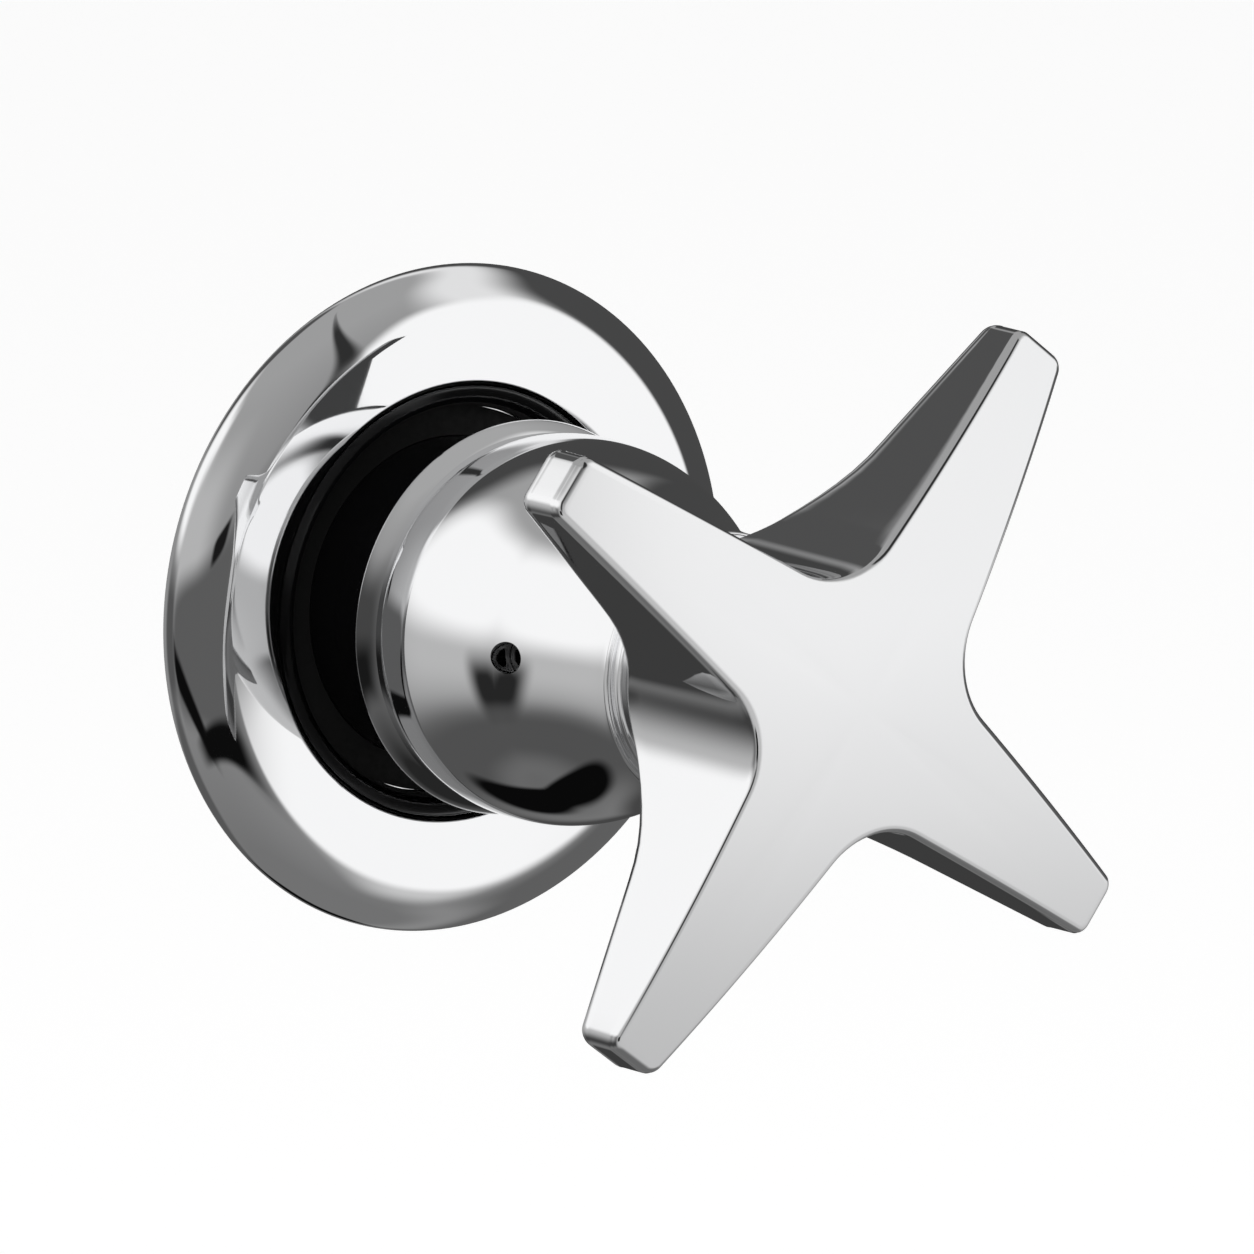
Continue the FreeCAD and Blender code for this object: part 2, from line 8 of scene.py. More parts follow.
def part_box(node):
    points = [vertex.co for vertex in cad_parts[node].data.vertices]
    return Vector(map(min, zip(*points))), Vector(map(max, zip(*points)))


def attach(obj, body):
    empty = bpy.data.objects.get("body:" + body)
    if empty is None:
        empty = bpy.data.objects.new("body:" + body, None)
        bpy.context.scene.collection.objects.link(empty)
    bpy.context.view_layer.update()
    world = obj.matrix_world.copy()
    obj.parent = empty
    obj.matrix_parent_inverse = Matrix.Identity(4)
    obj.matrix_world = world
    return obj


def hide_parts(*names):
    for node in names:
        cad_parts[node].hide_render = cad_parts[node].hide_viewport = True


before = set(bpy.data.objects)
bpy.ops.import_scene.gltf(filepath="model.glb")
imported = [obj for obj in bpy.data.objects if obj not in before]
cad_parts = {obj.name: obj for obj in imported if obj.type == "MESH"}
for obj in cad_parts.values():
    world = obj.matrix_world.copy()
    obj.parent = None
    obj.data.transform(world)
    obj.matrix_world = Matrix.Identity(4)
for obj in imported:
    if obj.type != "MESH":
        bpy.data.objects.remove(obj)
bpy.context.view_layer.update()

# Shower tap with a cross handle. Sizes are millimetres; the tap's axis runs along -Y from the wall.
# A place on a turned piece is (radius, depth), and depth grows from the wall outwards.
MM = 0.001

FLANGE_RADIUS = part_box("flange")[1].x / MM
SLEEVE_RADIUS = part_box("sleeve")[1].x / MM
SLEEVE_BACK = -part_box("sleeve")[1].y / MM
SLEEVE_FRONT = -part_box("sleeve")[0].y / MM
BELL_RADIUS = 19.05
BELL_BACK = -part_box("handle_bell")[1].y / MM
BELL_FRONT = -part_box("handle_bell")[0].y / MM
CROSS_BACK = -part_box("cross_handle")[1].y / MM
CROSS_FRONT = -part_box("cross_handle")[0].y / MM
STUD_HOLE = 4.05
HUB_BORE = 6.45

ROUND_STEPS = 192
MERGE_DISTANCE = 0.002
SMOOTH_ANGLE = math.radians(32)
CROSS_SMOOTH_ANGLE = math.radians(50)


# Modelling helpers

def placed(radius, depth, angle=0.0):
    """Point in metres for a radius, a depth and an angle in degrees from +X towards +Z."""
    turn = math.radians(angle)
    return Vector((radius * math.cos(turn), -depth, radius * math.sin(turn))) * MM


def arc(centre, radius, start, end, steps):
    """Points on a circle in the (radius, depth) plane, from one angle to another in degrees."""
    points = []
    for step in range(steps + 1):
        turn = math.radians(start + (end - start) * step / steps)
        points.append((centre[0] + radius * math.cos(turn), centre[1] + radius * math.sin(turn)))
    return points


def angle_to(centre, point):
    """Angle in degrees at which a point is seen from the centre of an arc."""
    return math.degrees(math.atan2(point[1] - centre[1], point[0] - centre[0]))


def arc_centre(start, end, radius):
    """Centre of a circle through two points, on the left of the way from one to the other."""
    chord = Vector(end) - Vector(start)
    left = Vector((-chord.y, chord.x)).normalized()
    middle = (Vector(end) + Vector(start)) / 2
    return middle + left * math.sqrt(radius ** 2 - chord.length_squared / 4)


def started(name):
    """Names the object that an operator has just added."""
    piece = bpy.context.object
    piece.name = name
    piece.data.name = name
    return piece


def alone(piece):
    """Selects one piece and nothing else, and makes it the active one."""
    bpy.ops.object.select_all(action="DESELECT")
    piece.select_set(True)
    bpy.context.view_layer.objects.active = piece


def smoothed(piece, angle=SMOOTH_ANGLE):
    alone(piece)
    bpy.ops.object.shade_smooth_by_angle(angle=angle)


def finished(piece, material, body, stands_for):
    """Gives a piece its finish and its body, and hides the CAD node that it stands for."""
    piece.data.materials.clear()
    piece.data.materials.append(material)
    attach(piece, body)
    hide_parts(stands_for)
    return piece


def lathe(name, profile):
    """Turns a closed profile of (radius, depth) points about the tap's axis."""
    bpy.ops.object.select_all(action="DESELECT")
    bpy.ops.mesh.primitive_plane_add(size=MM, location=(0, 0, 0))
    piece = started(name)
    bpy.ops.object.mode_set(mode="EDIT")
    bpy.ops.mesh.select_all(action="SELECT")
    bpy.ops.mesh.merge(type="CENTER")
    bpy.ops.transform.translate(value=placed(*profile[0]))
    for here, there in zip(profile, profile[1:] + profile[:1]):
        step = placed(*there) - placed(*here)
        bpy.ops.mesh.extrude_vertices_move(TRANSFORM_OT_translate={"value": step})
    bpy.ops.mesh.select_all(action="SELECT")
    bpy.ops.mesh.spin(steps=ROUND_STEPS, angle=math.tau, center=(0, 0, 0), axis=(0, 1, 0))
    bpy.ops.mesh.select_all(action="SELECT")
    bpy.ops.mesh.remove_doubles(threshold=MERGE_DISTANCE * MM)
    bpy.ops.mesh.normals_make_consistent(inside=False)
    bpy.ops.object.mode_set(mode="OBJECT")
    smoothed(piece)
    return piece


def cut(piece, cutter):
    """Cuts the cutter's shape out of a piece and removes the cutter."""
    change = piece.modifiers.new("cut", "BOOLEAN")
    change.operation = "DIFFERENCE"
    change.solver = "EXACT"
    change.object = cutter
    alone(piece)
    bpy.ops.object.modifier_apply(modifier=change.name)
    bpy.data.objects.remove(cutter)


# Materials

GRAIN_FINENESS, GRAIN_DEPTH, GRAIN_LOW, GRAIN_HIGH = 9.0, 0.02, 0.3, 0.7
VARIATION_INPUTS = {
    "Colour A": "NodeSocketColor", "Colour B": "NodeSocketColor", "Scale": "NodeSocketFloat",
    "Roughness Low": "NodeSocketFloat", "Roughness High": "NodeSocketFloat",
}
VARIATION_OUTPUTS = {
    "Colour": "NodeSocketColor", "Roughness": "NodeSocketFloat", "Grain": "NodeSocketFloat",
}


def maths(tree, operation, *values):
    """Math node whose inputs are numbers or the outputs of other nodes."""
    step = tree.nodes.new("ShaderNodeMath")
    step.operation = operation
    for socket, value in zip(step.inputs, values):
        if isinstance(value, (int, float)):
            socket.default_value = value
        else:
            tree.links.new(value, socket)
    return step.outputs[0]


def noise(tree, place, scale, detail, roughness):
    """Noise over given coordinates, with a scale that another node gives."""
    texture = tree.nodes.new("ShaderNodeTexNoise")
    texture.inputs["Detail"].default_value = detail
    texture.inputs["Roughness"].default_value = roughness
    tree.links.new(place, texture.inputs["Vector"])
    tree.links.new(scale, texture.inputs["Scale"])
    return texture.outputs["Fac"]


def variation_group():
    """Slow colour and gloss variation over a surface, from Object coordinates."""
    group = bpy.data.node_groups.new("surface_variation", "ShaderNodeTree")
    for name, kind in VARIATION_INPUTS.items():
        group.interface.new_socket(name, in_out="INPUT", socket_type=kind)
    for name, kind in VARIATION_OUTPUTS.items():
        group.interface.new_socket(name, in_out="OUTPUT", socket_type=kind)
    link = group.links.new
    given = group.nodes.new("NodeGroupInput").outputs
    result = group.nodes.new("NodeGroupOutput").inputs
    place = group.nodes.new("ShaderNodeTexCoord").outputs["Object"]
    broad = noise(group, place, given["Scale"], detail=4.0, roughness=0.55)
    finer = maths(group, "MULTIPLY", given["Scale"], GRAIN_FINENESS)
    grain = noise(group, place, finer, detail=3.0, roughness=0.6)
    colour = group.nodes.new("ShaderNodeMix")
    colour.data_type = "RGBA"
    link(broad, colour.inputs["Factor"])
    link(given["Colour A"], colour.inputs["A"])
    link(given["Colour B"], colour.inputs["B"])
    gloss = group.nodes.new("ShaderNodeMapRange")
    gloss.inputs["From Min"].default_value = GRAIN_LOW
    gloss.inputs["From Max"].default_value = GRAIN_HIGH
    link(grain, gloss.inputs["Value"])
    link(given["Roughness Low"], gloss.inputs["To Min"])
    link(given["Roughness High"], gloss.inputs["To Max"])
    link(colour.outputs["Result"], result["Colour"])
    link(gloss.outputs["Result"], result["Roughness"])
    link(grain, result["Grain"])
    return group


SURFACE_VARIATION = variation_group()


def varied_material(name, light, dark, scale, gloss, metal, bump=0.0, shine=0.5):
    """Material whose colour, gloss and fine relief vary over the surface."""
    material = bpy.data.materials.new(name + "_finish")
    material.use_nodes = True
    tree = material.node_tree
    shader = tree.nodes["Principled BSDF"]
    shader.inputs["Metallic"].default_value = metal
    shader.inputs["Specular IOR Level"].default_value = shine
    varied = tree.nodes.new("ShaderNodeGroup")
    varied.node_tree = SURFACE_VARIATION
    varied.inputs["Colour A"].default_value = (*light, 1.0)
    varied.inputs["Colour B"].default_value = (*dark, 1.0)
    varied.inputs["Scale"].default_value = scale
    varied.inputs["Roughness Low"].default_value = gloss[0]
    varied.inputs["Roughness High"].default_value = gloss[1]
    tree.links.new(varied.outputs["Colour"], shader.inputs["Base Color"])
    tree.links.new(varied.outputs["Roughness"], shader.inputs["Roughness"])
    if bump:
        relief = tree.nodes.new("ShaderNodeBump")
        relief.inputs["Strength"].default_value = bump
        relief.inputs["Distance"].default_value = GRAIN_DEPTH * MM
        tree.links.new(varied.outputs["Grain"], relief.inputs["Height"])
        tree.links.new(relief.outputs["Normal"], shader.inputs["Normal"])
    return material


def threaded(material, pitch, back, front, height):
    """Adds the relief of a screw thread round the tap's axis, between two depths."""
    tree = material.node_tree
    place = tree.nodes.new("ShaderNodeTexCoord")
    split = tree.nodes.new("ShaderNodeSeparateXYZ")
    tree.links.new(place.outputs["Object"], split.inputs["Vector"])
    depth = maths(tree, "MULTIPLY", split.outputs["Y"], -1 / MM)
    angle = maths(tree, "ARCTAN2", split.outputs["Z"], split.outputs["X"])
    turns = maths(tree, "ADD", maths(tree, "DIVIDE", depth, pitch), maths(tree, "DIVIDE", angle, math.tau))
    ridge = maths(tree, "PINGPONG", turns, 0.5)
    past_back = maths(tree, "GREATER_THAN", depth, back)
    before_front = maths(tree, "LESS_THAN", depth, front)
    inside = maths(tree, "MULTIPLY", past_back, before_front)
    relief = tree.nodes.new("ShaderNodeBump")
    relief.inputs["Distance"].default_value = 2 * height * MM
    shader = tree.nodes["Principled BSDF"]
    tree.links.new(maths(tree, "MULTIPLY", ridge, inside), relief.inputs["Height"])
    tree.links.new(shader.inputs["Normal"].links[0].from_socket, relief.inputs["Normal"])
    tree.links.new(relief.outputs["Normal"], shader.inputs["Normal"])
    return material


BRASS_LOOK = ((0.74, 0.52, 0.24), (0.62, 0.42, 0.18), 90.0, (0.24, 0.40), 1.0, 0.15)
THREAD_PITCH, THREAD_BACK, THREAD_FRONT, THREAD_HEIGHT = 1.814, -17.0, -8.0, 1.16

CHROME = varied_material("polished_chrome", (0.93, 0.93, 0.935), (0.90, 0.905, 0.915),
                         30.0, (0.015, 0.035), 1.0)
BLACK = varied_material("black_sleeve", (0.002, 0.002, 0.0022), (0.004, 0.004, 0.0044),
                        60.0, (0.10, 0.18), 0.0, 0.08, shine=0.2)
BRASS = varied_material("brass", *BRASS_LOOK)
WALL_BRASS = threaded(varied_material("brass_thread", *BRASS_LOOK),
                      THREAD_PITCH, THREAD_BACK, THREAD_FRONT, THREAD_HEIGHT)
DARK_STEEL = varied_material("dark_steel", (0.06, 0.06, 0.06), (0.03, 0.03, 0.03),
                             300.0, (0.30, 0.45), 1.0, 0.12)
STEEL = varied_material("steel", (0.58, 0.58, 0.57), (0.48, 0.48, 0.48),
                        120.0, (0.25, 0.40), 1.0, 0.12)
RUBBER = varied_material("black_rubber", (0.004, 0.004, 0.004), (0.009, 0.009, 0.009),
                         150.0, (0.55, 0.75), 0.0, 0.3, shine=0.2)
CERAMIC = varied_material("white_ceramic", (0.86, 0.85, 0.82), (0.80, 0.79, 0.76),
                          110.0, (0.20, 0.32), 0.0, 0.05)
FIBRE = varied_material("red_fibre", (0.36, 0.07, 0.045), (0.22, 0.035, 0.025),
                        260.0, (0.65, 0.85), 0.0, 0.5)
NYLON = varied_material("nylon", (0.78, 0.76, 0.70), (0.70, 0.68, 0.62),
                        140.0, (0.40, 0.55), 0.0, 0.1)


# Cover flange and its seal, whose lip over the throat is painted shade

def flange_profile():
    """Rolled rim, gently coned face, inner edge rolled in round the sleeve, and the hollow back."""
    edge, rim, roll, wall = 1.5, 7.0, 3.4, 1.2
    edge_depth, roll_depth, rim_turn = 3.0, 3.35, 40.0
    bore, channel, throat = SLEEVE_RADIUS + 0.3, SLEEVE_RADIUS + 1.45, SLEEVE_RADIUS + 3.0
    channel_back, channel_front = 1.0, 2.4
    foot_inset, foot_width, foot_lift = 0.6, 1.4, 0.8
    hollow_step, hollow_reach = 3.2, 1.5
    roll_steps, rim_steps, edge_steps = 40, 48, 28
    turn = math.radians(rim_turn)
    edge_centre = Vector((FLANGE_RADIUS - edge, edge_depth))
    rim_centre = edge_centre - Vector((math.cos(turn), math.sin(turn))) * (rim - edge)
    roll_centre = Vector((throat + roll, roll_depth))
    between = rim_centre - roll_centre
    cone = math.degrees(math.atan2(between.y, between.x) + math.asin((rim - roll) / between.length))
    foot = edge_centre.x - foot_inset
    hollow = foot - foot_width
    profile = [(bore, 0), (bore, channel_back), (channel, channel_back)]
    profile += [(channel, channel_front), (throat, channel_front)]
    profile += arc(roll_centre, roll, 180, 90 + cone, roll_steps)
    profile += arc(rim_centre, rim, 90 + cone, rim_turn, rim_steps)
    profile += arc(edge_centre, edge, rim_turn, -90, edge_steps)[1:]
    profile += [(foot, edge_centre.y - edge), (foot, foot_lift), (hollow, foot_lift)]
    profile += [(hollow, hollow_step), (rim_centre.x + hollow_reach, rim_centre.y + rim - wall)]
    profile += [(roll_centre.x, roll_centre.y + roll - wall), (roll_centre.x, 0)]
    return profile


def seal_and_shade_lip_profile():
    """Ring in the flange's channel, with a black lip that closes the throat round the sleeve: the lip is
    painted shade that keeps the chrome throat dark.
    """
    bore, ring, lip = SLEEVE_RADIUS + 0.05, SLEEVE_RADIUS + 1.4, SLEEVE_RADIUS + 2.95
    back, shelf, front = 1.05, 2.42, 2.8
    return [(bore, back), (ring, back), (ring, shelf), (lip, shelf), (lip, front), (bore, front)]


flange = finished(lathe("flange_shell", flange_profile()), CHROME, "cover_flange", "flange")
# The seal's lip is painted shade: black rubber laid over the flange's chrome throat so that the throat
# shows dark.
seal = finished(lathe("flange_seal_and_shade_lip", seal_and_shade_lip_profile()), RUBBER, "cover_flange", "flange_o_ring")


# Black sleeve

def sleeve_profile():
    """Open tube with rounded ends and a floor that has a hole for the valve's thread."""
    wall, floor, hole, edge, edge_steps = 1.4, 2.0, 9.12, 0.3, 5
    inner = SLEEVE_RADIUS - wall
    profile = [(hole, SLEEVE_BACK)]
    profile += arc((SLEEVE_RADIUS - edge, SLEEVE_BACK + edge), edge, -90, 0, edge_steps)
    profile += arc((SLEEVE_RADIUS - edge, SLEEVE_FRONT - edge), edge, 0, 90, edge_steps)
    profile += [(inner, SLEEVE_FRONT), (inner, SLEEVE_BACK + floor), (hole, SLEEVE_BACK + floor)]
    return profile


sleeve = finished(lathe("sleeve_tube", sleeve_profile()), BLACK, "valve", "sleeve")


# Bell-shaped skirt of the handle, with its grub screw

GRUB_DEPTH, GRUB_ANGLE, GRUB_RADIUS, GRUB_LENGTH = 34.3, 176.5, 1.45, 7.5
GRUB_CLEARANCE, HOLE_START, HOLE_END, HOLE_SIDES = 0.05, 5.0, 24.0, 48
SOCKET_WIDTH, SOCKET_DEPTH, SOCKET_SPARE = 1.5, 1.6, 1.0
SCREW_SIDES, SCREW_EDGE = 40, 0.12


def bell_profiles():
    """Sections of the rounded rim band, and of the skirt: belly, flare to the neck, hollow inside."""
    edge, band_width, band_curve = 0.4, 2.1, 3.0
    belly, belly_inset, belly_depth, flare_end = 24.0, 0.45, 22.3, 12.95
    cavity, cavity_front, hub_front = SLEEVE_RADIUS + 0.8, 28.5, 40.95
    edge_steps, band_steps, belly_steps, flare_steps = 8, 12, 36, 30
    belly_centre = (BELL_RADIUS - belly_inset - belly, belly_depth)
    crease_depth = BELL_BACK + band_width
    crease_reach = math.sqrt(belly ** 2 - (belly_depth - crease_depth) ** 2)
    crease = (belly_centre[0] + crease_reach, crease_depth)
    length = BELL_FRONT - edge - belly_depth
    height = flare_end - belly_centre[0]
    flare = (length ** 2 + height ** 2 - belly ** 2) / (belly - height) / 2
    flare_centre = (flare_end + flare, BELL_FRONT - edge)
    share = belly / (belly + flare)
    meeting = (belly_centre[0] + (height + flare) * share, belly_depth + length * share)
    band_start = (BELL_RADIUS, BELL_BACK + edge)
    band_centre = arc_centre(band_start, crease, band_curve)
    band_from = angle_to(band_centre, band_start)
    band_to = angle_to(band_centre, crease)
    belly_from = angle_to(belly_centre, crease)
    belly_to = angle_to(belly_centre, meeting)
    flare_from = angle_to(flare_centre, meeting) % 360
    rim = [(cavity, BELL_BACK)]
    rim += arc((BELL_RADIUS - edge, BELL_BACK + edge), edge, -90, 0, edge_steps)
    rim += arc(band_centre, band_curve, band_from, band_to, band_steps)[1:]
    rim += [(cavity, crease_depth)]
    skirt = [(cavity, crease_depth)]
    skirt += arc(belly_centre, belly, belly_from, belly_to, belly_steps)
    skirt += arc(flare_centre, flare, flare_from, 180, flare_steps)[1:]
    skirt += arc((flare_end - edge, BELL_FRONT - edge), edge, 0, 90, edge_steps)[1:]
    skirt += [(STUD_HOLE, BELL_FRONT), (STUD_HOLE, hub_front), (HUB_BORE, hub_front)]
    skirt += [(HUB_BORE, cavity_front), (cavity, cavity_front)]
    return rim, skirt


def radial_cylinder(name, radius, start, end, sides):
    """Cylinder along the grub screw's direction, between two distances from the tap's axis."""
    bpy.ops.object.select_all(action="DESELECT")
    bpy.ops.mesh.primitive_cylinder_add(vertices=sides, radius=radius * MM, depth=(end - start) * MM)
    piece = started(name)
    outwards = placed(1, 0, GRUB_ANGLE).normalized()
    turn = outwards.to_track_quat("Z", "Y").to_matrix().to_4x4()
    middle = placed((start + end) / 2, GRUB_DEPTH, GRUB_ANGLE)
    piece.matrix_world = Matrix.Translation(middle) @ turn
    alone(piece)
    bpy.ops.object.transform_apply(location=True, rotation=True, scale=True)
    return piece


def make_skirt(profile):
    """Skirt with the grub screw's hole through its side."""
    skirt = lathe("bell_skirt", profile)
    hole = radial_cylinder("grub_hole", GRUB_RADIUS + GRUB_CLEARANCE, HOLE_START, HOLE_END, HOLE_SIDES)
    cut(skirt, hole)
    smoothed(skirt)
    return finished(skirt, CHROME, "handle", "handle_bell")


def make_grub_screw():
    """Headless screw with a hexagon socket, from the hub's bore outwards."""
    end = HUB_BORE + GRUB_LENGTH
    screw = radial_cylinder("socket_screw", GRUB_RADIUS, HUB_BORE, end, SCREW_SIDES)
    corner = SOCKET_WIDTH / 2 / math.cos(math.radians(30))
    cut(screw, radial_cylinder("hex_socket", corner, end - SOCKET_DEPTH, end + SOCKET_SPARE, 6))
    edge = screw.modifiers.new("edge", "BEVEL")
    edge.width = SCREW_EDGE * MM
    edge.segments = 2
    bpy.ops.object.modifier_apply(modifier=edge.name)
    smoothed(screw)
    return finished(screw, DARK_STEEL, "handle", "grub_screw")


rim_profile, skirt_profile = bell_profiles()
bell_rim = finished(lathe("bell_rim", rim_profile), CHROME, "handle", "handle_bell")
bell_skirt = make_skirt(skirt_profile)
grub_screw = make_grub_screw()


# Ring between bell and cross

def neck_profile():
    """Flat ring with rounded outer edges."""
    radius, edge, edge_steps = 12.3, 0.45, 8
    profile = [(STUD_HOLE, BELL_FRONT)]
    profile += arc((radius - edge, BELL_FRONT + edge), edge, -90, 0, edge_steps)
    profile += arc((radius - edge, CROSS_BACK - edge), edge, 0, 90, edge_steps)
    profile += [(STUD_HOLE, CROSS_BACK)]
    return profile


neck_band = finished(lathe("neck_band", neck_profile()), CHROME, "handle", "neck_ring")


# Cross handle

ARM_ANGLE, ARM_REACH, TIP_HALF, ROOT_HALF, ROOT_REACH = 52.4, 38.8, 3.0, 5.85, 18.0
WAIST_FILLET, TIP_ROUND, FRONT_ROUND, BACK_ROUND, LEAST_ROUND = 8.0, 1.4, 0.75, 1.7, 0.15
FADE_START, FADE_RUN = 12.6, 10.0
FRONT_DOME, WALL_TAPER, OUTLINE_DEPTH = 205.0, math.tan(math.radians(1.0)), CROSS_FRONT + 0.5
NECK, BACK_CURVE, NECK_SLOPE, BACK_RISE = 11.5, 17.6, math.radians(62.0), math.radians(10.0)
CURVE_END = NECK + BACK_CURVE * (math.sin(NECK_SLOPE) - math.sin(BACK_RISE))
CURVE_FRONT = CROSS_BACK + BACK_CURVE * (math.cos(BACK_RISE) - math.cos(NECK_SLOPE))
WAIST_STEPS, TIP_STEPS, SIDE_STEPS, END_STEPS, EDGE_STEPS = 16, 10, 14, 4, 8
FRONT_SHARES = (0.05, 0.15, 0.3, 0.45, 0.6, 0.72, 0.82, 0.9, 0.96, 0.99)
WALL_SHARES = (0.03, 0.12, 0.3, 0.5, 0.7, 0.88, 0.97)
BACK_SHARES = (0.02, 0.07, 0.15, 0.25, 0.35, 0.45, 0.55, 0.65, 0.75, 0.84, 0.92, 1)


def rounded_corner(before, corner, after, radius, steps):
    """Arc points with outward normals that round one corner of a counterclockwise outline."""
    arrive = (corner - before).normalized()
    leave = (after - corner).normalized()
    turn = math.atan2(arrive.cross(leave), arrive.dot(leave))
    reach = radius * math.tan(abs(turn) / 2)
    side = math.copysign(1.0, turn)
    start = corner - arrive * reach
    centre = start + Vector((-arrive.y, arrive.x)) * radius * side
    points = []
    for step in range(steps + 1):
        spoke = Matrix.Rotation(turn * step / steps, 2) @ (start - centre)
        points.append((centre + spoke, spoke.normalized() * side))
    return points


def star_corners():
    """Corners round the four arms: place, rounding, its steps, and the steps to the next corner."""
    fall = (ROOT_HALF - TIP_HALF) / (ARM_REACH - ROOT_REACH)
    waist = (TIP_HALF + fall * ARM_REACH) / (1 + fall)
    corners = []
    for quarter in range(4):
        turn = Matrix.Rotation(math.radians(ARM_ANGLE + 90 * quarter), 2)
        corners.append((turn @ Vector((waist, -waist)), WAIST_FILLET, WAIST_STEPS, SIDE_STEPS))
        corners.append((turn @ Vector((ARM_REACH, -TIP_HALF)), TIP_ROUND, TIP_STEPS, END_STEPS))
        corners.append((turn @ Vector((ARM_REACH, TIP_HALF)), TIP_ROUND, TIP_STEPS, SIDE_STEPS))
    return corners


def star_outline():
    """Points and outward normals round the four arms, in the plane across the tap's axis."""
    corners = star_corners()
    places = [corner[0] for corner in corners]
    rounds = []
    for index, (place, radius, steps, _) in enumerate(corners):
        following = places[(index + 1) % len(places)]
        rounds.append(rounded_corner(places[index - 1], place, following, radius, steps))
    outline = []
    for corner, points, following in zip(corners, rounds, rounds[1:] + rounds[:1]):
        outline += points
        end, end_normal = points[-1]
        start, start_normal = following[0]
        straight = corner[3]
        for step in range(1, straight):
            share = step / straight
            outline.append((end.lerp(start, share), end_normal.lerp(start_normal, share).normalized()))
    return outline


def dome_depth(radius):
    """Depth of the gently domed front face."""
    return CROSS_FRONT - FRONT_DOME + math.sqrt(FRONT_DOME ** 2 - radius ** 2)


def back_depth(radius):
    """Depth of the back: an arc that rises from the neck, then a straight run to the tips."""
    if radius > CURVE_END:
        return CURVE_FRONT + (radius - CURVE_END) * math.tan(BACK_RISE)
    slope = math.asin(math.sin(NECK_SLOPE) - (max(radius, NECK) - NECK) / BACK_CURVE)
    return CROSS_BACK + BACK_CURVE * (math.cos(slope) - math.cos(NECK_SLOPE))


def back_round_at(radius):
    """Rounding of the back edge, which fades out towards the waists."""
    share = min(max((radius - FADE_START) / FADE_RUN, 0.0), 1.0)
    return LEAST_ROUND + (BACK_ROUND - LEAST_ROUND) * share * share * (3 - 2 * share)


def widened(point, normal, depth):
    """Point of the outline at a depth, with the casting's taper."""
    return point + normal * (OUTLINE_DEPTH - depth) * WALL_TAPER


# Each ring function gives a function from a point of the outline and its normal to a spot and its depth

def front_ring(share):
    def place(point, normal):
        spot = (point - normal * FRONT_ROUND) * share
        return spot, dome_depth(spot.length)
    return place


def front_edge_ring(turn):
    def place(point, normal):
        spot = widened(point, normal, CROSS_FRONT) - normal * FRONT_ROUND * (1 - math.sin(turn))
        return spot, dome_depth(spot.length) - FRONT_ROUND * (1 - math.cos(turn))
    return place


def wall_ring(share):
    def place(point, normal):
        top = dome_depth(point.length) - FRONT_ROUND
        bottom = back_depth(point.length) + back_round_at(point.length)
        depth = top + (bottom - top) * share
        return widened(point, normal, depth), depth
    return place


def back_edge_ring(turn):
    def place(point, normal):
        rounding = back_round_at(point.length)
        wide = widened(point, normal, back_depth(point.length))
        spot = wide - normal * rounding * (1 - math.cos(turn))
        return spot, back_depth(spot.length) + rounding * (1 - math.sin(turn))
    return place


def back_ring(share):
    def place(point, normal):
        spot, _ = back_edge_ring(math.pi / 2)(point, normal)
        radius = spot.length + (NECK - spot.length) * share
        return spot.normalized() * radius, back_depth(radius)
    return place


def cross_rings():
    """Rings from the middle of the front face over the edges to the neck."""
    turns = [math.pi / 2 * step / EDGE_STEPS for step in range(EDGE_STEPS + 1)]
    rings = [front_ring(share) for share in FRONT_SHARES]
    rings += [front_edge_ring(turn) for turn in turns]
    rings += [wall_ring(share) for share in WALL_SHARES]
    rings += [back_edge_ring(turn) for turn in turns]
    rings += [back_ring(share) for share in BACK_SHARES]
    return rings


def number_stations(mesh):
    """Numbers the corners of the first face, so that extruded copies know their place in the outline."""
    shape = bmesh.from_edit_mesh(mesh)
    station = shape.verts.layers.int.new("station")
    shape.faces.ensure_lookup_table()
    for index, corner in enumerate(shape.faces[0].loops):
        corner.vert[station] = index
    bmesh.update_edit_mesh(mesh)


def move_ring(mesh, outline, place):
    """Moves the selected ring of points to where a ring function places them."""
    shape = bmesh.from_edit_mesh(mesh)
    station = shape.verts.layers.int["station"]
    for vertex in shape.verts:
        if vertex.select:
            spot, depth = place(*outline[vertex[station]])
            vertex.co = Vector((spot.x, -depth, spot.y)) * MM
    bmesh.update_edit_mesh(mesh)


def make_cross():
    """Extrudes the star's outline ring by ring: front dome, edge, walls, back edge, sweep to the neck."""
    outline = star_outline()
    first, *others = cross_rings()
    bpy.ops.object.select_all(action="DESELECT")
    bpy.ops.mesh.primitive_circle_add(vertices=len(outline), radius=NECK * MM, fill_type="NGON")
    cross = started("cross_casting")
    bpy.ops.object.mode_set(mode="EDIT")
    bpy.ops.mesh.select_all(action="SELECT")
    number_stations(cross.data)
    move_ring(cross.data, outline, first)
    for place in others:
        bpy.ops.mesh.extrude_region_move()
        move_ring(cross.data, outline, place)
    bpy.ops.mesh.select_all(action="SELECT")
    bpy.ops.mesh.normals_make_consistent(inside=False)
    bpy.ops.object.mode_set(mode="OBJECT")
    smoothed(cross, CROSS_SMOOTH_ANGLE)
    return finished(cross, CHROME, "handle", "cross_handle")


cross = make_cross()


# CAD nodes that stay as they are

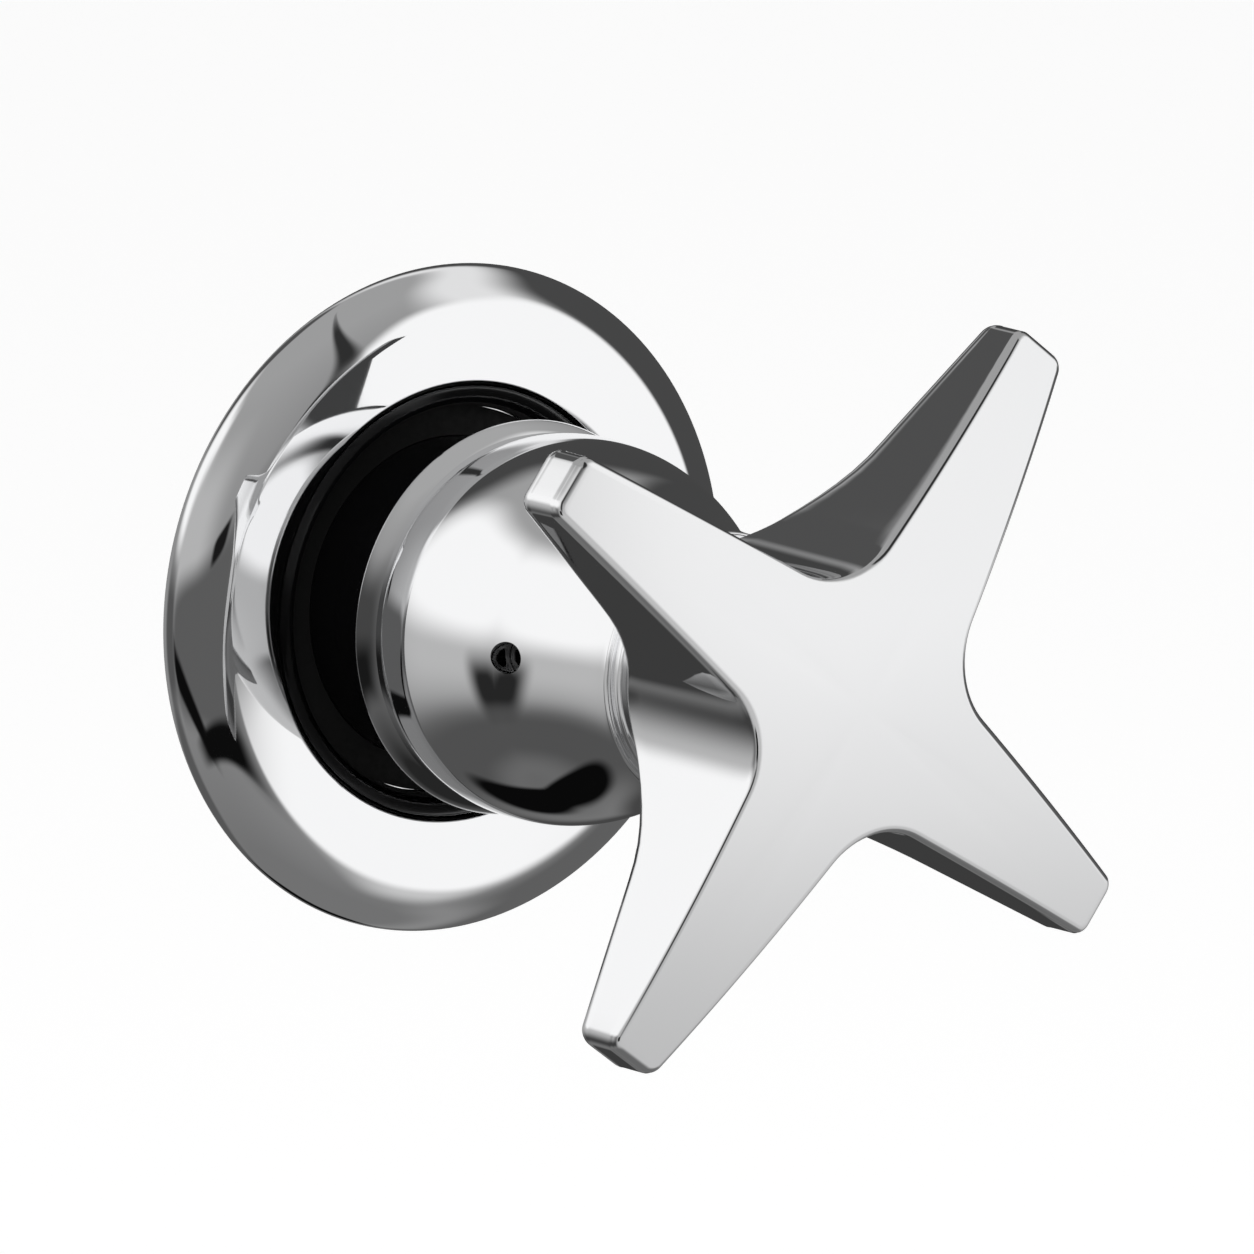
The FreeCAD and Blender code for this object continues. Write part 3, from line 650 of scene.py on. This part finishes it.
KEPT = {
    "wall_gasket": RUBBER, "seat_seal": RUBBER, "spindle_o_rings": RUBBER,
    "sleeve_washer": STEEL, "spindle_clip": STEEL, "stop_ring": STEEL, "handle_stud": STEEL,
    "sleeve_lock_nut": BRASS, "valve_body": WALL_BRASS, "spindle": BRASS, "spline_insert": BRASS,
    "moving_disc": CERAMIC, "fixed_disc": CERAMIC, "fibre_washer": FIBRE, "thrust_washer": NYLON,
}
for name, material in KEPT.items():
    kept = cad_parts[name]
    if not kept.material_slots:
        kept.data.materials.append(material)
    for material_slot in kept.material_slots:
        material_slot.material = material


# Camera, world, floor and lamp: places in metres, angles in degrees, lens and sensor in millimetres

CAMERA_PLACE, CAMERA_DROP, CAMERA_TURN = (-0.6106, -0.8601, 0.2025), 11.042, -36.415
CAMERA_LENS, CAMERA_SENSOR = 319.7, 36.0
WORLD_LIGHT, FLOOR_HEIGHT, FLOOR_SIZE, FLOOR_GLOW = 0.55, -0.30, 12.0, 0.45
LAMP_PLACE, LAMP_SIZE, LAMP_POWER = (-0.6, -0.9, 0.9), 0.8, 9.0

scene = bpy.context.scene
scene.view_settings.view_transform = "Standard"


def make_camera():
    """Camera at the photograph's place, which was fitted to its outlines."""
    data = bpy.data.cameras.new("camera")
    data.sensor_width = CAMERA_SENSOR
    data.lens = CAMERA_LENS
    camera = bpy.data.objects.new("camera", data)
    camera.location = CAMERA_PLACE
    camera.rotation_euler = (math.radians(90 - CAMERA_DROP), 0, math.radians(CAMERA_TURN))
    scene.collection.objects.link(camera)
    scene.camera = camera


def background_mask(tree):
    """1 for rays from the camera, from mirrors and through glass, 0 for the light that falls on things."""
    path = tree.nodes.new("ShaderNodeLightPath").outputs
    seen = maths(tree, "MAXIMUM", path["Is Camera Ray"], path["Is Glossy Ray"])
    return maths(tree, "MAXIMUM", seen, path["Is Transmission Ray"])


def make_world():
    """White to the camera and to mirrors, and a plain light on the object."""
    world = bpy.data.worlds.new("studio")
    scene.world = world
    world.use_nodes = True
    tree = world.node_tree
    sky = tree.nodes["Background"]
    sky.inputs["Color"].default_value = (1, 1, 1, 1)
    level = tree.nodes.new("ShaderNodeMapRange")
    level.inputs["To Min"].default_value = WORLD_LIGHT
    level.inputs["To Max"].default_value = 1.0
    tree.links.new(background_mask(tree), level.inputs["Value"])
    tree.links.new(level.outputs["Result"], sky.inputs["Strength"])


def make_floor():
    """Pale floor that glows a little to the camera and to mirrors, and keeps the object's shadow."""
    bpy.ops.object.select_all(action="DESELECT")
    bpy.ops.mesh.primitive_plane_add(size=FLOOR_SIZE, location=(0, 0, FLOOR_HEIGHT))
    floor = started("floor")
    material = bpy.data.materials.new("pale_floor")
    material.use_nodes = True
    tree = material.node_tree
    shader = tree.nodes["Principled BSDF"]
    shader.inputs["Base Color"].default_value = (0.85, 0.85, 0.85, 1)
    shader.inputs["Roughness"].default_value = 0.9
    shader.inputs["Emission Color"].default_value = (1, 1, 1, 1)
    glow = maths(tree, "MULTIPLY", background_mask(tree), FLOOR_GLOW)
    tree.links.new(glow, shader.inputs["Emission Strength"])
    floor.data.materials.append(material)


def make_lamp():
    """Soft lamp in front, at the upper left, which mirrors don't see."""
    data = bpy.data.lights.new("soft_lamp", "AREA")
    data.size = LAMP_SIZE
    data.energy = LAMP_POWER
    lamp = bpy.data.objects.new("soft_lamp", data)
    lamp.location = LAMP_PLACE
    lamp.rotation_euler = Vector(LAMP_PLACE).to_track_quat("Z", "Y").to_euler()
    lamp.visible_glossy = False
    scene.collection.objects.link(lamp)


# Light tents: grey spheres with light and dark boards, seen in reflections only. The flange, the bell's
# rim, the bell and the cross mirror different surroundings, so each has its own tent, by light linking.

TENT_CENTRE, TENT_SEGMENTS, TENT_RINGS = (0, -0.035, 0), 96, 48
SHADE_BOTTOM, SHADE_TOP = -70, 60
BOARD_INPUTS = ("Azimuth", "Elevation", "Level Behind", "Centre Azimuth", "Centre Elevation",
                "Half Width", "Half Height", "Tilt", "Softness", "Board Level")
CORNER_POWER = 4


def board_group():
    """One soft-edged board on a tent: its own level inside a rounded rectangle, what was there outside."""
    group = bpy.data.node_groups.new("tent_board", "ShaderNodeTree")
    for name in BOARD_INPUTS:
        group.interface.new_socket(name, in_out="INPUT", socket_type="NodeSocketFloat")
    group.interface.new_socket("Level", in_out="OUTPUT", socket_type="NodeSocketFloat")
    given = group.nodes.new("NodeGroupInput").outputs
    result = group.nodes.new("NodeGroupOutput").inputs

    def step(operation, *values):
        return maths(group, operation, *values)

    around = step("WRAP", step("SUBTRACT", given["Azimuth"], given["Centre Azimuth"]), 180, -180)
    above = step("SUBTRACT", given["Elevation"], given["Centre Elevation"])
    tilt = step("RADIANS", given["Tilt"])
    sine = step("SINE", tilt)
    cosine = step("COSINE", tilt)
    lengthwise = step("ADD", step("MULTIPLY", around, cosine), step("MULTIPLY", above, sine))
    crosswise = step("SUBTRACT", step("MULTIPLY", above, cosine), step("MULTIPLY", around, sine))
    across = step("ABSOLUTE", step("DIVIDE", lengthwise, given["Half Width"]))
    along = step("ABSOLUTE", step("DIVIDE", crosswise, given["Half Height"]))
    square = step("ADD", step("POWER", across, CORNER_POWER), step("POWER", along, CORNER_POWER))
    edge = group.nodes.new("ShaderNodeMapRange")
    edge.interpolation_type = "SMOOTHSTEP"
    edge.inputs["To Min"].default_value = 1
    edge.inputs["To Max"].default_value = 0
    group.links.new(step("POWER", square, 1 / CORNER_POWER), edge.inputs["Value"])
    group.links.new(step("SUBTRACT", 1, given["Softness"]), edge.inputs["From Min"])
    group.links.new(step("ADD", 1, given["Softness"]), edge.inputs["From Max"])
    change = step("SUBTRACT", given["Board Level"], given["Level Behind"])
    level = step("MULTIPLY_ADD", change, edge.outputs["Result"], given["Level Behind"])
    group.links.new(level, result["Level"])
    return group


TENT_BOARD = board_group()

# Boards of each tent, painted over those before them. Azimuth runs from the front towards +X. The values
# are azimuth, elevation, half width, half height and tilt in degrees, softness of the edge, level.
FLANGE_BOARDS = {
    "low_back_grey": (-150, -42, 50, 18, 0, 0.30, 0.10),
    "left_softbox": (-112, 32, 36, 19, 0, 0.35, 1.0),
    "left_grey": (-66, 14, 30, 22, 0, 0.60, 0.48),
    "left_dark": (-112, -10, 28, 16, 0, 0.40, 0.09),
    "panel": (-34, -14, 52, 19, 0, 0.25, 0.11),
    "panel_black": (-64, -26, 24, 5, -33, 0.35, 0.004),
    "panel_edge": (-24, -33, 38, 4.5, 11.5, 0.30, 0.004),
    "panel_spot": (-18, 5, 9, 3, 0, 0.30, 0.01),
    "back_board": (-172, 38, 16, 20, 0, 0.20, 0.08),
    "right_glow": (104, 18, 66, 46, 0, 0.12, 0.80),
    "right_board": (116, 10, 54, 38, 0, 0.18, 0.065),
    "front_low_glow": (44, -32, 16, 20, 0, 0.50, 0.60),
    "front_softbox": (46, -2, 21, 35, 0, 0.16, 1.0),
    "panel_side": (24, -2, 2.5, 12, 0, 0.40, 0.004),
    "low_right_glow": (104, -42, 52, 24, 0, 0.20, 0.25),
    "low_right_board": (110, -38, 50, 18, 0, 0.30, 0.12),
    "back_black": (172, -58, 22, 11, 0, 0.20, 0.003),
    "front_strip": (11, 42, 40, 2.5, -67, 0.50, 0.03),
}
BELL_BOARDS = {
    "low_back_grey": (-140, -45, 60, 16, 0, 0.40, 0.085),
    "left_glow": (-118, -4, 40, 22, 0, 0.70, 0.50),
    "left_softbox": (-118, 30, 38, 27, 0, 0.30, 1.0),
    "front_left_glow": (-30, -10, 42, 26, 0, 0.50, 0.48),
    "front_low_dark": (-38, -38, 22, 7, 0, 0.40, 0.04),
    "front_dark": (-20, -16, 8, 9, 0, 0.30, 0.03),
    "front_left_softbox": (-42, 28, 32, 23, 0, 0.25, 1.0),
    "front_right_glow": (30, -28, 65, 18, 0, 0.40, 0.55),
    "front_right_softbox": (42, 18, 38, 38, 0, 0.30, 1.0),
    "back_board": (158, 8, 42, 46, 0, 0.15, 0.06),
    "back_black": (172, -62, 24, 14, 0, 0.20, 0.003),
    "front_strip": (0, 62, 9, 24, 0, 0.50, 0.03),
    "drop": (-97, -22, 7, 14, 0, 0.60, 0.02),
}
RIM_BOARDS = {
    "left_dark": (-105, -5, 70, 26, 0, 0.50, 0.06),
    "low_black": (-105, -24, 40, 12, 0, 0.60, 0.01),
    "front_softbox": (42, 18, 38, 38, 0, 0.30, 1.0),
}
CROSS_BOARDS = {
    "left_black": (-105, -24, 54, 26, 0, 0.30, 0.05),
    "left_glow": (-134, 5, 44, 21, 0, 0.95, 0.50),
    "left_softbox": (-105, 27, 66, 18, 0, 0.50, 1.0),
    "front_left_glow": (-15, -20, 45, 34, 0, 0.40, 0.48),
    "front_right_glow": (30, -28, 65, 18, 0, 0.40, 0.55),
    "front_right_softbox": (42, 18, 36, 37, 0, 0.40, 0.93),
    "right_board": (122, 14, 38, 26, 0, 0.20, 0.055),
    "right_corner": (74, -2, 18, 9, 0, 0.30, 0.10),
    "low_back_board": (156, -36, 36, 11, 0, 0.25, 0.045),
    "hub_black": (-42, -15, 10, 11, 0, 0.30, 0.01),
    "back_board": (178, 48, 22, 14, 0, 0.25, 0.08),
    "front_strip": (-12, 52, 14, 26, 0, 0.35, 0.03),
    "left_strip": (-32, 18, 9, 22, 0, 0.40, 0.05),
}


def tent_level(tree, boards, low, high):
    """Brightness over a tent: a grey that gets lighter upwards, with the boards painted on it."""
    place = tree.nodes.new("ShaderNodeTexCoord")
    unit = tree.nodes.new("ShaderNodeVectorMath")
    unit.operation = "NORMALIZE"
    split = tree.nodes.new("ShaderNodeSeparateXYZ")
    tree.links.new(place.outputs["Object"], unit.inputs[0])
    tree.links.new(unit.outputs["Vector"], split.inputs["Vector"])
    forward = maths(tree, "MULTIPLY", split.outputs["Y"], -1)
    azimuth = maths(tree, "DEGREES", maths(tree, "ARCTAN2", split.outputs["X"], forward))
    elevation = maths(tree, "DEGREES", maths(tree, "ARCSINE", split.outputs["Z"]))
    shade = tree.nodes.new("ShaderNodeMapRange")
    shade.inputs["From Min"].default_value = SHADE_BOTTOM
    shade.inputs["From Max"].default_value = SHADE_TOP
    shade.inputs["To Min"].default_value = low
    shade.inputs["To Max"].default_value = high
    tree.links.new(elevation, shade.inputs["Value"])
    level = shade.outputs["Result"]
    for label, values in boards.items():
        board = tree.nodes.new("ShaderNodeGroup")
        board.node_tree = TENT_BOARD
        board.label = label
        places = (azimuth, elevation, level)
        for socket, value in zip(BOARD_INPUTS, places):
            tree.links.new(value, board.inputs[socket])
        for socket, value in zip(BOARD_INPUTS[len(places):], values):
            board.inputs[socket].default_value = value
        level = board.outputs["Level"]
    return level


def tent_material(name, boards, opaque, low, high):
    """Glow of a tent, which lets the tents outside it through unless it is the opaque one."""
    material = bpy.data.materials.new(name)
    material.use_nodes = True
    tree = material.node_tree
    tree.nodes.clear()
    glow = tree.nodes.new("ShaderNodeEmission")
    beyond = tree.nodes.new("ShaderNodeBsdfTransparent")
    beyond.inputs["Color"].default_value = (0, 0, 0, 1) if opaque else (1, 1, 1, 1)
    both = tree.nodes.new("ShaderNodeAddShader")
    result = tree.nodes.new("ShaderNodeOutputMaterial")
    tree.links.new(tent_level(tree, boards, low, high), glow.inputs["Color"])
    tree.links.new(glow.outputs["Emission"], both.inputs[0])
    tree.links.new(beyond.outputs["BSDF"], both.inputs[1])
    tree.links.new(both.outputs["Shader"], result.inputs["Surface"])
    return material


def make_tent(name, boards, mirrors, radius, opaque=False, low=0.14, high=0.36):
    """Tent that is seen only in the reflections on the given pieces."""
    bpy.ops.object.select_all(action="DESELECT")
    bpy.ops.mesh.primitive_uv_sphere_add(segments=TENT_SEGMENTS, ring_count=TENT_RINGS, radius=radius,
                                         location=TENT_CENTRE)
    tent = started(name)
    bpy.ops.object.shade_smooth()
    tent.data.materials.append(tent_material(name, boards, opaque, low, high))
    tent.visible_camera = False
    tent.visible_diffuse = False
    tent.visible_shadow = False
    receivers = bpy.data.collections.new(name + "_mirrors")
    for piece in mirrors:
        receivers.objects.link(piece)
    tent.light_linking.receiver_collection = receivers


make_camera()
make_world()
make_floor()
wall_pieces = [flange, seal, sleeve] + [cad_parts[name] for name in KEPT]
make_tent("rim_tent", RIM_BOARDS, [bell_rim], radius=0.25, low=0.02, high=0.40)
make_tent("flange_tent", FLANGE_BOARDS, wall_pieces, radius=0.26, low=0.18)
make_tent("bell_tent", BELL_BOARDS, [bell_skirt, grub_screw, neck_band], radius=0.27)
make_tent("cross_tent", CROSS_BOARDS, [cross], radius=0.28, opaque=True)
make_lamp()
